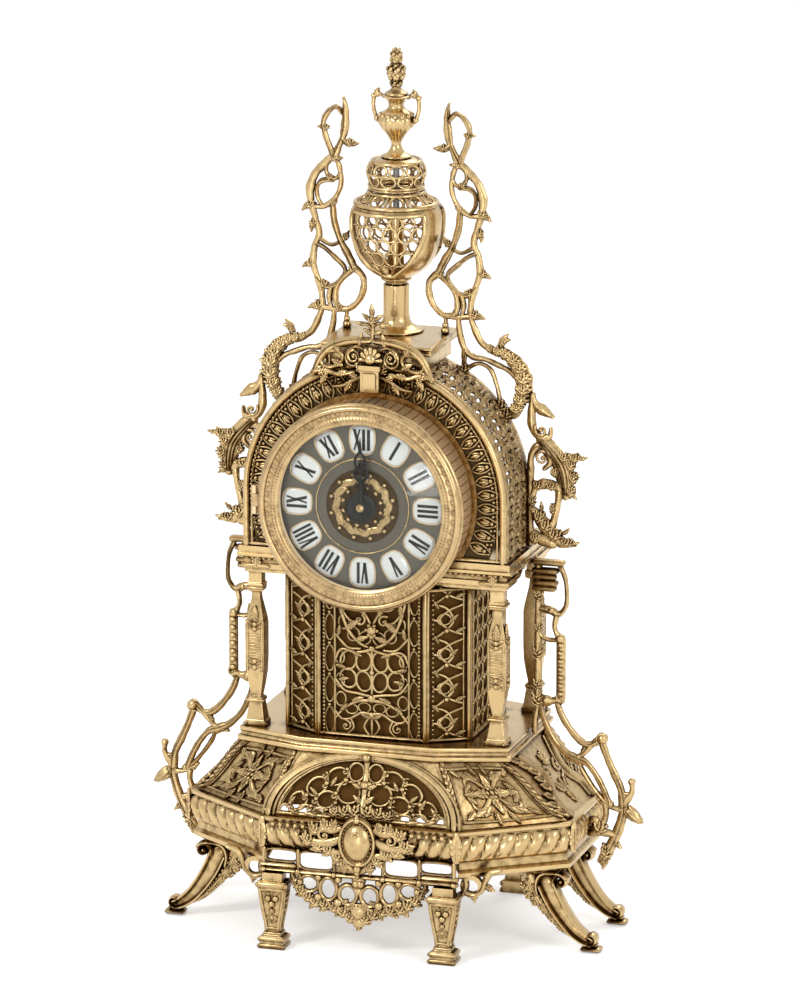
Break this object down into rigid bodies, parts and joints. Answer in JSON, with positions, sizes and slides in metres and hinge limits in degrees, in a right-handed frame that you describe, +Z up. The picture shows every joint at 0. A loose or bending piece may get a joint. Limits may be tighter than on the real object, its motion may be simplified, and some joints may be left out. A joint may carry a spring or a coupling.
{
  "type": "mantel clock",
  "caption": "Ornate cast-brass mantel clock: a pierced lantern case with columns on a footed, gadrooned base, a round clock in its arched head, side scrolls and an urn on top.",
  "frame": {"origin": "on the floor plane, under the middle of the base", "axes": "+Z up, front and dial face -Y, +X to the right of someone who faces the dial"},
  "size_m": [0.3334, 0.1844, 0.5731],
  "materials": {
    "polished_brass": "polished",
    "relief_brass": "polished, dark in the hollows",
    "drum_brass": "satin",
    "liner_brown": "matt dark brown",
    "screw_steel": "plain",
    "dial_bronze": "satin",
    "enamel": "gloss white",
    "hand_black": "black",
    "clear_glass": "clear",
    "movement_black": "moulded",
    "gear_cream": "moulded",
    "board_green": "solder mask",
    "coil_copper": "wound wire",
    "magnet_grey": "plain",
    "battery_blue": "gloss sleeve"
  },
  "bodies": {
    "case": {"scroll_feet": "relief_brass", "bracket_feet": "relief_brass", "foot_screws": "screw_steel", "base_frame": "relief_brass", "front_apron": "relief_brass", "rear_apron": "relief_brass", "gadroon_rim": "relief_brass", "front_cartouche": "relief_brass", "rear_cartouche": "relief_brass", "plinth_shell": "relief_brass", "front_lunette": "relief_brass", "rear_lunette": "relief_brass", "plinth_deck": "polished_brass", "columns": "relief_brass", "case_front": "relief_brass", "case_rear": "relief_brass", "case_left": "relief_brass", "case_right": "relief_brass", "case_liner": "liner_brown", "bracket_left": "relief_brass", "bracket_right": "relief_brass", "entablature": "polished_brass", "arch_front": "relief_brass", "arch_vault": "relief_brass", "arch_back": "relief_brass", "crest": "relief_brass", "crest_sprig": "relief_brass", "acroterion_left": "relief_brass", "acroterion_right": "relief_brass", "crown_left": "relief_brass", "crown_right": "relief_brass", "roof_cap": "polished_brass", "stem": "polished_brass", "urn": "relief_brass", "urn_lid": "relief_brass", "vase": "polished_brass", "flower_finial": "polished_brass", "tie_rod": "screw_steel", "tie_nut": "screw_steel", "drum": "drum_brass", "hinge_pin": "screw_steel", "dial": "dial_bronze", "hour_plaques": "enamel", "dial_centre": "relief_brass", "fixing_nut": "polished_brass", "movement_case": "movement_black", "movement_lid": "movement_black", "circuit_board": "board_green", "coil": "coil_copper", "battery": "battery_blue"},
    "bezel_ring": {"bezel": "polished_brass", "glass": "clear_glass"},
    "minute_train": {"minute_hand": "hand_black", "hand_nut": "polished_brass", "minute_arbor": "gear_cream"},
    "hour_train": {"hour_hand": "hand_black", "hour_wheel": "gear_cream"},
    "motion_train": {"motion_wheel": "gear_cream"},
    "setting_shaft": {"setting_knob": "movement_black"},
    "rotor_magnet": {"rotor": "magnet_grey"}
  },
  "joints": [
    {"name": "bezel_hinge", "type": "hinge", "parent": "case", "child": "bezel_ring", "pos_m": [-0.0703, -0.0743, 0.2915], "axis": [0, 0, -1], "range_deg": [0, 105]},
    {"name": "minute_turn", "type": "hinge", "parent": "case", "child": "minute_train", "pos_m": [0, -0.078, 0.2915], "axis": [0, 1, 0], "continuous": true},
    {"name": "hour_turn", "type": "hinge", "parent": "case", "child": "hour_train", "pos_m": [0, -0.078, 0.2915], "axis": [0, 1, 0], "continuous": true},
    {"name": "motion_turn", "type": "hinge", "parent": "case", "child": "motion_train", "pos_m": [0, -0.067, 0.2819], "axis": [0, 1, 0], "continuous": true},
    {"name": "setting_turn", "type": "hinge", "parent": "case", "child": "setting_shaft", "pos_m": [0, -0.067, 0.2723], "axis": [0, 1, 0], "continuous": true},
    {"name": "rotor_turn", "type": "hinge", "parent": "case", "child": "rotor_magnet", "pos_m": [-0.013, -0.067, 0.2895], "axis": [0, 1, 0], "continuous": true}
  ],
  "couplings": [
    {"joint": "hour_turn", "follows": "minute_turn", "ratio": 0.083333},
    {"joint": "motion_turn", "follows": "minute_turn", "ratio": -0.33333},
    {"joint": "setting_turn", "follows": "minute_turn", "ratio": 1}
  ]
}
